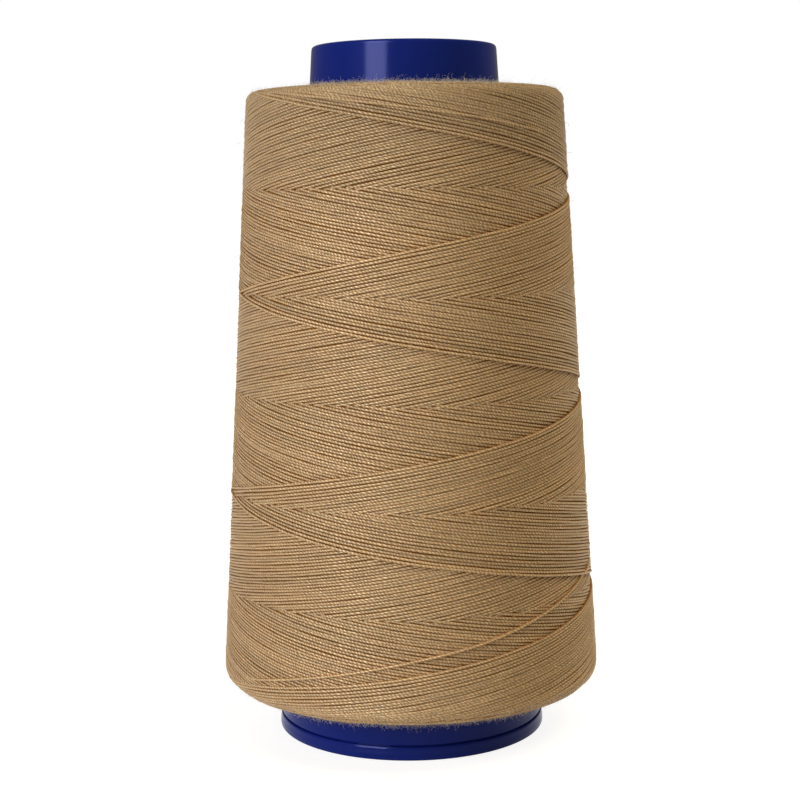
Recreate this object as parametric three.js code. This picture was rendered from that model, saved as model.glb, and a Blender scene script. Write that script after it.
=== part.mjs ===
// A cone of spun sewing thread: one thread cross-wound on a hollow tapered plastic core.
// The core stands on its foot, +Z is up, and the origin is the middle of the foot's underside.
import * as THREE from 'three';

// All sizes are in millimetres, and all heights are above the foot's underside.

// Flats that stand for a quarter round.
const ROUNDING_STEPS = 4;

// Core, a moulded tube that narrows evenly from its foot to its nose.
const CORE_HEIGHT = 170;
const CORE_WALL = 1.6;
const CORE_SEGMENTS = 72;
const NOSE_RADIUS = 22.65;
const NOSE_ROUNDING = 0.8;
const NOSE_INNER_CHAMFER = 0.3;
const FOOT_RADIUS = 33.15;
const LIP_RADIUS = 33.6;
const LIP_HEIGHT = 3.3;
const LIP_CHAMFER = 0.4;
const LIP_DRAFT = 0.2;
const GROOVE_WIDTH = 0.5;
const GROOVE_DEPTH = 0.3;
const GROOVE_SIDE = 0.15;

// Thread, a package as wide as its outermost turns.
const PACKAGE_BOTTOM = 12.2;
const PACKAGE_TOP = 159.3;
const PACKAGE_BOTTOM_RADIUS = 47.6;
const PACKAGE_TOP_RADIUS = 38.8;
const BOTTOM_ROUNDING = 3.8;
const TOP_ROUNDING = 2.9;
const CORE_CLEARANCE = 0.32;

// Winding. Each stroke of the thread climbs the package in about three turns and comes down in three more.
// Strokes cross at evenly spaced heights, called rows, half a turn apart.
const FIRST_ROW_HEIGHT = 12.1;
const ROW_SPACING = 24.8;
const FIRST_CROSSING_ANGLE = -170;
const LAYER_THICKNESS = 0.5;
const RELIEF_FADE = 8;

// The grid on the package's side: a step along it is 10 degrees round, and as far up as the thread climbs in
// that, so the edges of the thread's crossing bands run along the diagonals of its cells.
const THREAD_SEGMENTS = 36;
const STEPS_PER_ROW = THREAD_SEGMENTS / 2;
const GRID_STEP = ROW_SPACING / STEPS_PER_ROW;
const DEGREES_PER_SEGMENT = 360 / THREAD_SEGMENTS;

/** The core's outer radius at a height above its lip. */
function coreRadius(height) {
  const above = (height - LIP_HEIGHT) / (CORE_HEIGHT - LIP_HEIGHT);
  return THREE.MathUtils.lerp(FOOT_RADIUS, NOSE_RADIUS, above);
}

/** Points [radius, height] of a rounding, between two angles in radians from the outward direction. */
function rounding(centreRadius, centreHeight, size, from, to) {
  const points = [];
  for (let i = 0; i <= ROUNDING_STEPS; i += 1) {
    const angle = THREE.MathUtils.lerp(from, to, i / ROUNDING_STEPS);
    points.push([centreRadius + size * Math.cos(angle), centreHeight + size * Math.sin(angle)]);
  }
  return points;
}

/** The core: a closed wall profile turned about the upright axis. */
function makeCoreGeometry() {
  const footInner = FOOT_RADIUS - CORE_WALL;
  const noseInner = NOSE_RADIUS - CORE_WALL;
  const grooveTop = LIP_HEIGHT + GROOVE_WIDTH;
  const grooveRadius = FOOT_RADIUS - GROOVE_DEPTH;
  const noseCentre = [NOSE_RADIUS - NOSE_ROUNDING, CORE_HEIGHT - NOSE_ROUNDING];
  const nose = rounding(...noseCentre, NOSE_ROUNDING, 0, Math.PI / 2);
  const profile = [
    [footInner, 0],
    [LIP_RADIUS - LIP_CHAMFER, 0],
    [LIP_RADIUS, LIP_CHAMFER],
    [LIP_RADIUS - LIP_DRAFT, LIP_HEIGHT],
    [grooveRadius, LIP_HEIGHT + GROOVE_SIDE],
    [grooveRadius, grooveTop - GROOVE_SIDE],
    [coreRadius(grooveTop), grooveTop],
    ...nose,
    [noseInner + NOSE_INNER_CHAMFER, CORE_HEIGHT],
    [noseInner, CORE_HEIGHT - NOSE_INNER_CHAMFER],
    [footInner, 0],
  ];
  const points = profile.map(([radius, height]) => new THREE.Vector2(radius, height));
  const geometry = new THREE.LatheGeometry(points, CORE_SEGMENTS);
  geometry.rotateX(Math.PI / 2);
  return geometry;
}

/** How far a segment lies behind a front that moves round the package, as a part of a turn. */
function turnBehind(segment, front) {
  return THREE.MathUtils.euclideanModulo(segment - front, THREAD_SEGMENTS) / THREAD_SEGMENTS;
}

/**
 * The winding's relief at a grid point. New thread is laid on two fronts, one for the strokes up and one
 * for the strokes down. Both start where the first row's turns cross, and part at the thread's own climb.
 * The package is one layer higher just behind a front than just ahead of it. The relief fades out towards
 * the package's ends, where the thread turns back.
 */
function windingRelief(segment, step) {
  const start = (FIRST_CROSSING_ANGLE + 180) / DEGREES_PER_SEGMENT;
  const upStrokes = 1 - turnBehind(segment, start - step);
  const downStrokes = 1 - turnBehind(segment, start + step);
  const height = FIRST_ROW_HEIGHT + step * GRID_STEP;
  const fromBottom = height - PACKAGE_BOTTOM - BOTTOM_ROUNDING;
  const fromTop = PACKAGE_TOP - TOP_ROUNDING - height;
  const fade = THREE.MathUtils.smoothstep(Math.min(fromBottom, fromTop), 0, RELIEF_FADE);
  return LAYER_THICKNESS * (upStrokes + downStrokes - 1) * fade;
}

/** The package's mean outer radius at a height. */
function packageRadius(height) {
  const above = (height - PACKAGE_BOTTOM) / (PACKAGE_TOP - PACKAGE_BOTTOM);
  return THREE.MathUtils.lerp(PACKAGE_BOTTOM_RADIUS, PACKAGE_TOP_RADIUS, above);
}

/** The package's rings, a closed loop up its side and down its bore, each with its height and its radii. */
function makePackageRings() {
  const even = ([radius, height]) => ({ height, radii: new Array(THREAD_SEGMENTS).fill(radius) });
  const bottomCentre = PACKAGE_BOTTOM + BOTTOM_ROUNDING;
  const topCentre = PACKAGE_TOP - TOP_ROUNDING;
  const bottomCorner = rounding(
    packageRadius(bottomCentre) - BOTTOM_ROUNDING, bottomCentre, BOTTOM_ROUNDING, -Math.PI / 2, 0,
  );
  const topCorner = rounding(
    packageRadius(topCentre) - TOP_ROUNDING, topCentre, TOP_ROUNDING, 0, Math.PI / 2,
  );

  const side = [];
  const firstStep = Math.ceil((bottomCentre - FIRST_ROW_HEIGHT) / GRID_STEP);
  const lastStep = Math.floor((topCentre - FIRST_ROW_HEIGHT) / GRID_STEP);
  for (let step = firstStep; step <= lastStep; step += 1) {
    const height = FIRST_ROW_HEIGHT + step * GRID_STEP;
    const radii = [];
    for (let segment = 0; segment < THREAD_SEGMENTS; segment += 1) {
      radii.push(packageRadius(height) + windingRelief(segment, step));
    }
    side.push({ height, radii });
  }

  // The bore's flat sides stay clear of the core's corners, so its own corners lie a little further out.
  const boreRadius = (height) => (coreRadius(height) + CORE_CLEARANCE) / Math.cos(Math.PI / THREAD_SEGMENTS);
  const bore = [PACKAGE_TOP, PACKAGE_BOTTOM].map((height) => [boreRadius(height), height]);
  const corners = [bottomCorner.slice(0, -1), topCorner.slice(1)].map((corner) => corner.map(even));
  return [...corners[0], ...side, ...corners[1], ...bore.map(even)];
}

/** A closed solid through a loop of rings. A cell is split along the diagonal with the nearer radii. */
function makeRingSolid(rings) {
  const positions = [];
  for (const { height, radii } of rings) {
    radii.forEach((radius, segment) => {
      const angle = THREE.MathUtils.degToRad(segment * DEGREES_PER_SEGMENT - 180);
      positions.push(radius * Math.cos(angle), radius * Math.sin(angle), height);
    });
  }

  const indices = [];
  rings.forEach(({ radii: lower }, ring) => {
    const nextRing = (ring + 1) % rings.length;
    const upper = rings[nextRing].radii;
    for (let segment = 0; segment < THREAD_SEGMENTS; segment += 1) {
      const nextSegment = (segment + 1) % THREAD_SEGMENTS;
      const a = ring * THREAD_SEGMENTS + segment;
      const b = ring * THREAD_SEGMENTS + nextSegment;
      const c = nextRing * THREAD_SEGMENTS + nextSegment;
      const d = nextRing * THREAD_SEGMENTS + segment;
      const acrossAC = Math.abs(lower[segment] - upper[nextSegment]);
      const acrossBD = Math.abs(lower[nextSegment] - upper[segment]);
      if (acrossAC < acrossBD) {
        indices.push(a, b, c, a, c, d);
      } else {
        indices.push(a, b, d, b, c, d);
      }
    }
  });

  const geometry = new THREE.BufferGeometry();
  geometry.setAttribute('position', new THREE.Float32BufferAttribute(positions, 3));
  geometry.setIndex(indices);
  geometry.computeVertexNormals();
  return geometry;
}

const corePlastic = new THREE.MeshStandardMaterial({ color: 0x1d2c84, roughness: 0.28, metalness: 0 });
const spunThread = new THREE.MeshStandardMaterial({ color: 0xb1905f, roughness: 0.9, metalness: 0 });

const core = new THREE.Mesh(makeCoreGeometry(), corePlastic);
core.name = 'core';

const thread = new THREE.Mesh(makeRingSolid(makePackageRings()), spunThread);
thread.name = 'thread';

const group = new THREE.Group();
group.add(core, thread);

export default group;
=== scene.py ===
"""Visual model of a spool of bonded thread: a cone of two-ply sewing thread on a hollow tapered core.

Sizes are millimetres until a mesh is written. Angles round the spool are degrees to the right of its front,
which faces -Y.
"""

import logging
import math
from dataclasses import dataclass
from enum import Enum

import bpy
import numpy as np
from mathutils import Matrix, Vector


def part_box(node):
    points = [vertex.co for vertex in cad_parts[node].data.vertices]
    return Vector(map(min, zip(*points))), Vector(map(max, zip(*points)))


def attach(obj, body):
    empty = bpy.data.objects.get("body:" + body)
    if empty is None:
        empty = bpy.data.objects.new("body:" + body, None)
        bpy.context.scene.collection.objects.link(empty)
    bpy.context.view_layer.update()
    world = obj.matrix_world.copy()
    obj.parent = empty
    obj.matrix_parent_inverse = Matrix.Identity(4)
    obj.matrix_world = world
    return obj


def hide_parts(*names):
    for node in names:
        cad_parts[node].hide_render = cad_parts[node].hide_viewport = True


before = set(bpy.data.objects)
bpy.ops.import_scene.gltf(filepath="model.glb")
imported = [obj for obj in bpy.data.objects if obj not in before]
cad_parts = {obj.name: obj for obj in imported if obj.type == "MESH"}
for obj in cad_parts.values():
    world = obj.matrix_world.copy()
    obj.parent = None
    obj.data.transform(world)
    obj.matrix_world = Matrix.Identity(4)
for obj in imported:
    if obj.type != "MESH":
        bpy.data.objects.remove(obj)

MM = 0.001
TURN = 2 * math.pi
BAKE_MAP = "OFBake"
BAKE_SIDE = 1024
BAKE_MARGIN = 2
LOG = logging.getLogger("spool")

ATTRIBUTE = "ShaderNodeAttribute"
MATHS = "ShaderNodeMath"
MIX = "ShaderNodeMix"
NAMED = "GeometryNodeInputNamedAttribute"
NOISE = "ShaderNodeTexNoise"
RANGE = "ShaderNodeMapRange"

Source = bpy.types.Node | bpy.types.NodeSocket
Rows = np.ndarray | list | tuple


# ---- Small tools -------------------------------------------------------------------------------------


def in_mm(metres: float) -> float:
    """Turns one of the frame's measures into millimetres, to the nearest hundredth."""
    return round(metres / MM, 2)


def to_linear(hex_colour: str) -> tuple[float, float, float, float]:
    """Turns an sRGB hex colour into the linear colour that shaders take.

    Args:
        hex_colour: six hex digits with a leading #.

    Returns:
        Linear red, green and blue, and an alpha of 1.
    """
    parts = [int(hex_colour[i : i + 2], 16) / 255 for i in (1, 3, 5)]
    red, green, blue = (c / 12.92 if c <= 0.04045 else ((c + 0.055) / 1.055) ** 2.4 for c in parts)
    return red, green, blue, 1.0


def add_node(tree: bpy.types.NodeTree, kind: str, inputs: dict | None = None, **settings) -> bpy.types.Node:
    """Adds a node with its settings, values and links.

    Args:
        tree: the tree it goes in.
        kind: the node's type.
        inputs: for each input, by name or index, a value, a source socket, or a source node, of which the
            first output in use is taken.
        **settings: the node's own properties, which are set first.

    Returns:
        The new node.
    """
    node = tree.nodes.new(kind)
    for name, value in settings.items():
        setattr(node, name, value)
    for key, value in (inputs or {}).items():
        if isinstance(value, bpy.types.Node):
            value = next(output for output in value.outputs if output.enabled)
        if isinstance(value, bpy.types.NodeSocket):
            tree.links.new(value, node.inputs[key])
        else:
            node.inputs[key].default_value = value
    return node


def new_group(name: str, inputs: dict[str, str], output: str) -> bpy.types.NodeTree:
    """Makes an empty Geometry Nodes tree with named inputs.

    Args:
        name: the tree's name.
        inputs: the kind of socket, such as Float, that each named input is.
        output: the name of the geometry that the tree makes.

    Returns:
        The tree.
    """
    tree = bpy.data.node_groups.new(name, "GeometryNodeTree")
    for socket, kind in inputs.items():
        tree.interface.new_socket(socket, in_out="INPUT", socket_type=f"NodeSocket{kind}")
    tree.interface.new_socket(output, in_out="OUTPUT", socket_type="NodeSocketGeometry")
    return tree


def run_nodes(
    source: bpy.types.Object, tree: bpy.types.NodeTree, values: dict[str, object]
) -> bpy.types.Mesh:
    """Runs a Geometry Nodes tree on an object and keeps the result as a plain mesh.

    Args:
        source: the object that the tree reads. It is removed.
        tree: the tree.
        values: a value for each of the tree's named inputs.

    Returns:
        The mesh that the tree makes.
    """
    modifier = source.modifiers.new("nodes", "NODES")
    modifier.node_group = tree
    for item in tree.interface.items_tree:
        if item.item_type == "SOCKET" and item.in_out == "INPUT" and item.name in values:
            modifier[item.identifier] = values[item.name]
    depsgraph = bpy.context.evaluated_depsgraph_get()
    evaluated = source.evaluated_get(depsgraph)
    mesh = bpy.data.meshes.new_from_object(evaluated, preserve_all_data_layers=True, depsgraph=depsgraph)
    source.modifiers.remove(modifier)
    bpy.data.objects.remove(source)
    return mesh


def make_object(name: str, mesh: bpy.types.Mesh) -> bpy.types.Object:
    """Puts a mesh in the scene.

    Args:
        name: the object's name.
        mesh: its mesh.

    Returns:
        The object, at the origin.
    """
    made = bpy.data.objects.new(name, mesh)
    bpy.context.scene.collection.objects.link(made)
    return made


def mesh_of(name: str, points: np.ndarray, faces: Rows, edges: Rows = ()) -> bpy.types.Mesh:
    """Makes a mesh from points in millimetres.

    Args:
        name: the mesh's name.
        points: one row of three for each vertex.
        faces: vertex numbers of each face.
        edges: vertex numbers of each loose edge.

    Returns:
        The mesh, in metres.
    """
    mesh = bpy.data.meshes.new(name)
    as_lists = [part.tolist() if isinstance(part, np.ndarray) else list(part) for part in (edges, faces)]
    mesh.from_pydata((np.asarray(points) * MM).tolist(), *as_lists)
    mesh.update()
    return mesh


def set_attribute(mesh: bpy.types.Mesh, name: str, kind: str, values: np.ndarray) -> None:
    """Writes one number or vector for each vertex of a mesh.

    Args:
        mesh: the mesh that takes the attribute.
        name: the attribute's name.
        kind: FLOAT, INT or FLOAT_VECTOR.
        values: a number or a row of three for each vertex.
    """
    layer = mesh.attributes.new(name, kind, "POINT")
    flat = np.asarray(values, np.int32 if kind == "INT" else np.float32).ravel()
    layer.data.foreach_set("vector" if kind == "FLOAT_VECTOR" else "value", flat)


def read_attribute(mesh: bpy.types.Mesh, name: str) -> np.ndarray:
    """Reads what set_attribute writes.

    Args:
        mesh: the mesh that has the attribute.
        name: the attribute's name.

    Returns:
        A number for each vertex, or a row of three where the attribute is a vector.
    """
    layer = mesh.attributes[name]
    is_vector = layer.data_type == "FLOAT_VECTOR"
    kind = np.int32 if layer.data_type == "INT" else np.float32
    found = np.empty(len(layer.data) * (3 if is_vector else 1), kind)
    layer.data.foreach_get("vector" if is_vector else "value", found)
    return found.reshape(-1, 3) if is_vector else found


def smooth(value: np.ndarray | float, low: float, high: float) -> np.ndarray | float:
    """A smooth step from 0 at low to 1 at high."""
    t = np.clip((value - low) / (high - low), 0.0, 1.0)
    return t * t * (3 - 2 * t)


def steps_to_end(count: int) -> np.ndarray:
    """How many points each of a row of points is from the row's nearer end."""
    index = np.arange(count)
    return np.minimum(index, index[::-1]).astype(float)


def through(stops: tuple[float, ...], counts: tuple[int, ...]) -> np.ndarray:
    """Even steps from each of a row of stops to the next.

    Args:
        stops: the values to run through.
        counts: how many values each span has, with its two ends.

    Returns:
        The values, each stop once.
    """
    spans = [np.linspace(low, high, count)[1:] for low, high, count in zip(stops, stops[1:], counts)]
    return np.concatenate([stops[:1], *spans])


# ---- Shape of the package and law of its winding -----------------------------------------------------


class Stroke(Enum):
    """Which way the thread travels along the spool while it is wound. The value is the climb's sign."""

    UP = 1
    DOWN = -1


@dataclass(frozen=True)
class PackageShape:
    """The wound package: a cone frustum with rounded edges.

    A place on its side is given by its rise, the height on the straight side, which runs on round the
    edges as a length of arc and then inwards along the flat ends.
    """

    top: float
    bottom: float = 12.4
    bottom_radius: float = 47.6
    top_radius: float = 38.8
    bottom_rounding: float = 4.1
    top_rounding: float = 2.9

    @property
    def side_start(self) -> float:
        """The height at which the straight side starts."""
        return self.bottom + self.bottom_rounding

    @property
    def side_end(self) -> float:
        """The height at which the straight side ends."""
        return self.top - self.top_rounding

    @property
    def bottom_rim(self) -> float:
        """The rise at which the bottom edge's rounding meets the flat end."""
        return self.side_start - self.bottom_rounding * math.pi / 2

    @property
    def top_rim(self) -> float:
        """The rise at which the top edge's rounding meets the flat end."""
        return self.side_end + self.top_rounding * math.pi / 2

    @property
    def bottom_flat(self) -> float:
        """The radius at which the bottom edge's rounding meets the flat end."""
        return self.radius(self.side_start) - self.bottom_rounding

    @property
    def top_flat(self) -> float:
        """The radius at which the top edge's rounding meets the flat end."""
        return self.radius(self.side_end) - self.top_rounding

    def radius(self, height: np.ndarray | float) -> np.ndarray | float:
        """The straight side's radius at a height."""
        above = (height - self.bottom) / (self.top - self.bottom)
        return self.bottom_radius + (self.top_radius - self.bottom_radius) * above

    def outline(self, rise: np.ndarray) -> tuple[np.ndarray, np.ndarray, np.ndarray]:
        """Finds the place of a rise on the package's outline.

        Args:
            rise: heights on the side, run on round the edges.

        Returns:
            The radii, the heights, and the outline's outward direction as an angle in radians, from 0 on the
            side to half pi on the top and minus half pi on the bottom.
        """
        rise = np.asarray(rise, float)
        upper = rise > self.side_end
        angle = np.where(
            upper,
            (rise - self.side_end) / self.top_rounding,
            np.where(rise < self.side_start, (rise - self.side_start) / self.bottom_rounding, 0.0),
        )
        turned = np.clip(angle, -math.pi / 2, math.pi / 2)
        over = np.abs(angle - turned)
        rounding = np.where(upper, self.top_rounding, self.bottom_rounding)
        straight = np.clip(rise, self.side_start, self.side_end)
        radius = self.radius(straight) - rounding * (1 - np.cos(turned)) - over * rounding
        height = straight + rounding * np.sin(turned)
        return radius, height, turned


@dataclass(frozen=True)
class WindingLaw:
    """How the outermost turns lie.

    The thread climbs the package in about three turns and comes down in three more. Each stroke is laid a
    little to the left of the last one of its kind, so new thread advances on two fronts. Along a front the
    newest turn lies on top of older thread, and thread grows older to its right. Up and down strokes cross
    at evenly spaced heights, called rows, half a turn apart.
    """

    package: PackageShape
    first_row: float = 12.1
    row_spacing: float = 24.8
    rows: int = 6
    first_crossing: float = -80.0
    layer: float = 0.43
    relief_fade: float = 8.0
    lower_wander: float = -10.0
    upper_wander: float = 8.0
    wander_rise: float = 100.0

    @property
    def last_row(self) -> float:
        """The rise of the uppermost row."""
        return self.first_row + self.rows * self.row_spacing

    def front(self, stroke: Stroke, rise: np.ndarray) -> np.ndarray:
        """Finds a stroke's front.

        Args:
            stroke: up or down.
            rise: places on the side.

        Returns:
            The front's angle at each place, in degrees. Up fronts wander a little as they climb.
        """
        turned = 180.0 * (rise - self.first_row) / self.row_spacing
        if stroke is Stroke.DOWN:
            return self.first_crossing - turned
        part = np.clip((rise - self.first_row) / self.wander_rise, 0.0, 1.0)
        wander = (self.upper_wander - self.lower_wander) * part
        return self.first_crossing + turned + self.lower_wander + wander

    def age(self, stroke: Stroke, angle: np.ndarray, rise: np.ndarray) -> np.ndarray:
        """How long ago a stroke was laid at a place, from 0 at its front to 1 a full turn behind it."""
        return ((angle - self.front(stroke, rise)) % 360.0) / 360.0

    def relief(self, angle: np.ndarray, rise: np.ndarray) -> np.ndarray:
        """Finds how far the winding stands above the mean package.

        Args:
            angle: degrees to the right of the front.
            rise: places on the side.

        Returns:
            Millimetres for each place, fading to 0 at both edges.
        """
        laid = 1.0 - self.age(Stroke.UP, angle, rise) - self.age(Stroke.DOWN, angle, rise)
        from_end = np.minimum(rise - self.package.side_start, self.package.side_end - rise)
        return self.layer * laid * smooth(from_end, 0.0, self.relief_fade)

    def place(self, angle: np.ndarray, rise: np.ndarray, proud: np.ndarray | float) -> np.ndarray:
        """Finds points on the package.

        Args:
            angle: degrees to the right of the front.
            rise: heights on the side, run on round the edges.
            proud: how far each point stands outside the mean package.

        Returns:
            One row of three for each point, in millimetres.
        """
        radius, height, turned = self.package.outline(rise)
        radius = radius + proud * np.cos(turned)
        height = height + proud * np.sin(turned)
        a = np.radians(angle)
        return np.stack([radius * np.sin(a), -radius * np.cos(a), height], -1)

    def outward(self, angle: np.ndarray, rise: np.ndarray) -> np.ndarray:
        """Finds the outward direction at places on the package.

        Args:
            angle: degrees to the right of the front.
            rise: heights on the side, run on round the edges.

        Returns:
            One row of three for each place.
        """
        turned = self.package.outline(rise)[2]
        a = np.radians(angle)
        return np.stack([np.sin(a) * np.cos(turned), -np.cos(a) * np.cos(turned), np.sin(turned)], -1)

    def surface(
        self, rises: np.ndarray, segments: int, inset: float
    ) -> tuple[np.ndarray, np.ndarray, np.ndarray]:
        """Lays a grid of points on the winding, or a little under it.

        Args:
            rises: the rise of each ring of points.
            segments: how many points a ring has.
            inset: how far under the winding's surface they lie.

        Returns:
            The points, ring by ring, and each point's angle and rise.
        """
        around = np.linspace(0, 360, segments, endpoint=False)
        rise, angle = np.meshgrid(rises, around, indexing="ij")
        return self.place(angle, rise, self.relief(angle, rise) - inset), angle, rise


# ---- Finishes ----------------------------------------------------------------------------------------


@dataclass(frozen=True)
class Finish:
    """A material made of nodes round one Principled shader."""

    name: str

    def build(self) -> bpy.types.Material:
        """Builds the material.

        Returns:
            The material.
        """
        material = bpy.data.materials.new(self.name)
        material.use_nodes = True
        tree = material.node_tree
        tree.nodes.clear()
        shader = add_node(tree, "ShaderNodeBsdfPrincipled", self.surface(tree))
        add_node(tree, "ShaderNodeOutputMaterial", {"Surface": shader})
        return material

    def surface(self, tree: bpy.types.NodeTree) -> dict[str, object]:
        """Adds the nodes that lead to the shader.

        Args:
            tree: the material's tree.

        Returns:
            A value or a source for each of the shader's inputs that this finish sets.
        """
        raise NotImplementedError


@dataclass(frozen=True)
class ThreadState:
    """Node outputs that say what the thread is like at a point, from 0 to 1 but for its place."""

    place: Source
    ply: Source
    bead: Source
    fibres: Source
    drift: Source
    open_side: Source
    felted: Source
    handled_and_shaded: Source


@dataclass(frozen=True)
class SpunThread(Finish):
    """Two-ply spun polyester sewing thread, dyed tan and bonded. Two plies twisted round each other catch
    the light as slanting beads of a soft lustre, each with a pale painted highlight, and a dark groove of
    painted shade runs between them; their fibres speckle them. A strand's flanks are darkened with painted
    shade, as if its neighbours shaded them. Near both ends the winding is felted, which hides the grooves,
    and towards the top it is rough with wear and darkened with painted shade.

    A twist is 1.9 mm long, patches of dye are about 11 mm, slubs 1.7 mm, and specks 0.45 mm: single fibres
    are too fine to show, so a speck stands for a tuft of them.
    """

    name: str = "spun_polyester_thread"
    painted_highlight: str = "#efe6d7"
    # The dark brown of painted shade in the grooves between the plies.
    groove: str = "#734408"
    warm: str = "#dcaa69"
    cool: str = "#d5b06e"
    # Painted shade on each strand's flanks.
    shade: str = "#cb9f6b"
    patches_per_metre: float = 90.0
    slubs_per_metre: float = 600.0
    specks_per_metre: float = 2200.0
    twist_length: float = 1.92
    twist_drift: float = 2.6
    drift_per_mm: float = 0.12
    ply_fullness: float = 0.7
    bead_sharpness: float = 4.0
    fibre_noise: float = 1.6
    fibre_stretch: tuple[float, float, float] = (0.8, 2.6, 1.1)
    fibre_contrast: tuple[float, float] = (2.4, -0.7)
    flank: tuple[float, float] = (0.36, 1.0)
    middle: float = 86.0
    felt: tuple[float, float] = (67.0, 71.5)
    felting: float = 0.75
    # Heights over which the top is worn and darkened with painted shade.
    handled_and_shaded_span: tuple[float, float] = (126.0, 156.0)
    handled_filling: float = 0.6
    top_painted_shade: float = 0.21
    handled_relief: float = 0.9
    handled_roughness: float = 0.16
    fibreless_highlight: float = 0.3
    darkest: float = 0.7
    slub_contrast: float = 0.3
    tone_contrast: float = 0.3
    fibre_dark: float = 0.89
    fibre_light: float = 0.22
    speckle: float = 1.7
    least_speckle: float = 0.75
    ply_relief: float = 0.138
    fibre_relief: float = 0.06
    roughness: float = 0.56
    bead_gloss: float = 0.16
    fibre_gloss: float = 0.1
    ior: float = 1.68
    specular: float = 1.0
    gloss_tint: str = "#ffe9c4"
    bonding: float = 0.18
    bonding_roughness: float = 0.36
    sheen: float = 0.12
    sheen_roughness: float = 0.45
    sheen_tint: str = "#f6e6d2"

    def surface(self, tree: bpy.types.NodeTree) -> dict[str, object]:
        """Works on Object coordinates and the strand attributes along, around, tone and phase.

        Args:
            tree: the material's tree.

        Returns:
            The shader's inputs.
        """
        state = self.state(tree)
        bump = add_node(tree, "ShaderNodeBump", {"Height": self.relief(tree, state), "Distance": MM})
        return {
            "Base Color": self.colour(tree, state),
            "Roughness": self.rough(tree, state),
            "Normal": bump,
            "IOR": self.ior,
            "Specular IOR Level": self.specular,
            "Specular Tint": to_linear(self.gloss_tint),
            "Coat Weight": self.bonding,
            "Coat Roughness": self.bonding_roughness,
            "Coat Normal": bump,
            "Sheen Weight": self.sheen,
            "Sheen Roughness": self.sheen_roughness,
            "Sheen Tint": to_linear(self.sheen_tint),
        }

    def state(self, tree: bpy.types.NodeTree) -> ThreadState:
        """Adds the nodes that find where a point is on its strand and on the package.

        Args:
            tree: the material's tree.

        Returns:
            What the thread is like there.
        """
        along = add_node(tree, ATTRIBUTE, attribute_name="along").outputs["Fac"]
        phase = add_node(tree, ATTRIBUTE, attribute_name="phase").outputs["Fac"]
        around = add_node(tree, ATTRIBUTE, attribute_name="around").outputs["Vector"]
        profile = add_node(tree, "ShaderNodeSeparateXYZ", {0: around}).outputs
        side = add_node(tree, MATHS, {0: profile[1], 1: profile[0]}, operation="ARCTAN2")

        # The plies turn round the strand at a rate that drifts slowly along it.
        slow = add_node(tree, MATHS, {0: along, 1: self.drift_per_mm}, operation="MULTIPLY")
        slow_place = add_node(tree, "ShaderNodeCombineXYZ", {0: slow, 1: phase})
        drift = add_node(tree, NOISE, {"Vector": slow_place, "Scale": 1.0, "Detail": 1.0})
        start = add_node(
            tree, MATHS, {0: drift, 1: TURN * self.twist_drift, 2: phase}, operation="MULTIPLY_ADD"
        )
        started = add_node(tree, MATHS, {0: side, 1: start})
        turned = add_node(tree, MATHS, {0: along, 1: TURN / self.twist_length}, operation="MULTIPLY")
        twist = add_node(tree, MATHS, {0: started, 1: turned}, operation="SUBTRACT")
        wave = add_node(tree, MATHS, {0: twist}, operation="COSINE")
        lobe = add_node(tree, MATHS, {0: wave}, operation="ABSOLUTE")
        ply = add_node(tree, MATHS, {0: lobe, 1: self.ply_fullness}, operation="POWER")
        bead = add_node(tree, MATHS, {0: lobe, 1: self.bead_sharpness}, operation="POWER")

        # Fibres run with the plies, so their noise is stretched along the twist.
        stretch, gain, offset = self.fibre_stretch, *self.fibre_contrast
        run = add_node(tree, MATHS, {0: along, 1: stretch[0]}, operation="MULTIPLY")
        across = add_node(tree, MATHS, {0: wave, 1: stretch[1]}, operation="MULTIPLY")
        girth = add_node(tree, MATHS, {0: side, 1: stretch[2]}, operation="MULTIPLY")
        own_girth = add_node(tree, MATHS, {0: girth, 1: phase})
        fibre_place = add_node(tree, "ShaderNodeCombineXYZ", {0: run, 1: across, 2: own_girth})
        streaks = add_node(tree, NOISE, {"Vector": fibre_place, "Scale": self.fibre_noise, "Detail": 2.0})
        clear = add_node(tree, MATHS, {0: streaks, 1: gain, 2: offset}, operation="MULTIPLY_ADD")

        place = add_node(tree, "ShaderNodeTexCoord").outputs["Object"]
        level = add_node(tree, "ShaderNodeSeparateXYZ", {0: place}).outputs["Z"]
        above = add_node(tree, MATHS, {0: level, 1: self.middle * MM}, operation="SUBTRACT")
        from_middle = add_node(tree, MATHS, {0: above}, operation="ABSOLUTE")
        felt, handled_and_shaded_span = ([limit * MM for limit in limits] for limits in (self.felt, self.handled_and_shaded_span))
        open_side, felted, handled_and_shaded = (
            add_node(
                tree,
                RANGE,
                {"Value": value, "From Min": low, "From Max": high},
                interpolation_type="SMOOTHSTEP",
            )
            for value, (low, high) in ((profile[0], self.flank), (from_middle, felt), (level, handled_and_shaded_span))
        )
        fibres = add_node(tree, "ShaderNodeClamp", {"Value": clear})
        return ThreadState(place, ply, bead, fibres, drift, open_side, felted, handled_and_shaded)

    def colour(self, tree: bpy.types.NodeTree, state: ThreadState) -> Source:
        """Adds the nodes that colour the thread.

        Args:
            tree: the material's tree.
            state: what the thread is like.

        Returns:
            The colour.
        """
        patches = add_node(
            tree, NOISE, {"Vector": state.place, "Scale": self.patches_per_metre, "Detail": 2.0}
        )
        body = add_node(
            tree, MIX, {0: patches, 6: to_linear(self.warm), 7: to_linear(self.cool)}, data_type="RGBA"
        )
        # Painted highlight: the beads of the plies take a pale colour where lamps would glint on them.
        floor = self.fibreless_highlight
        lustre = add_node(tree, MATHS, {0: state.fibres, 1: 1 - floor, 2: floor}, operation="MULTIPLY_ADD")
        shine = add_node(tree, MATHS, {0: lustre, 1: state.bead}, operation="MULTIPLY")
        lit = add_node(tree, MIX, {0: shine, 6: body, 7: to_linear(self.painted_highlight)}, data_type="RGBA")
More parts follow.
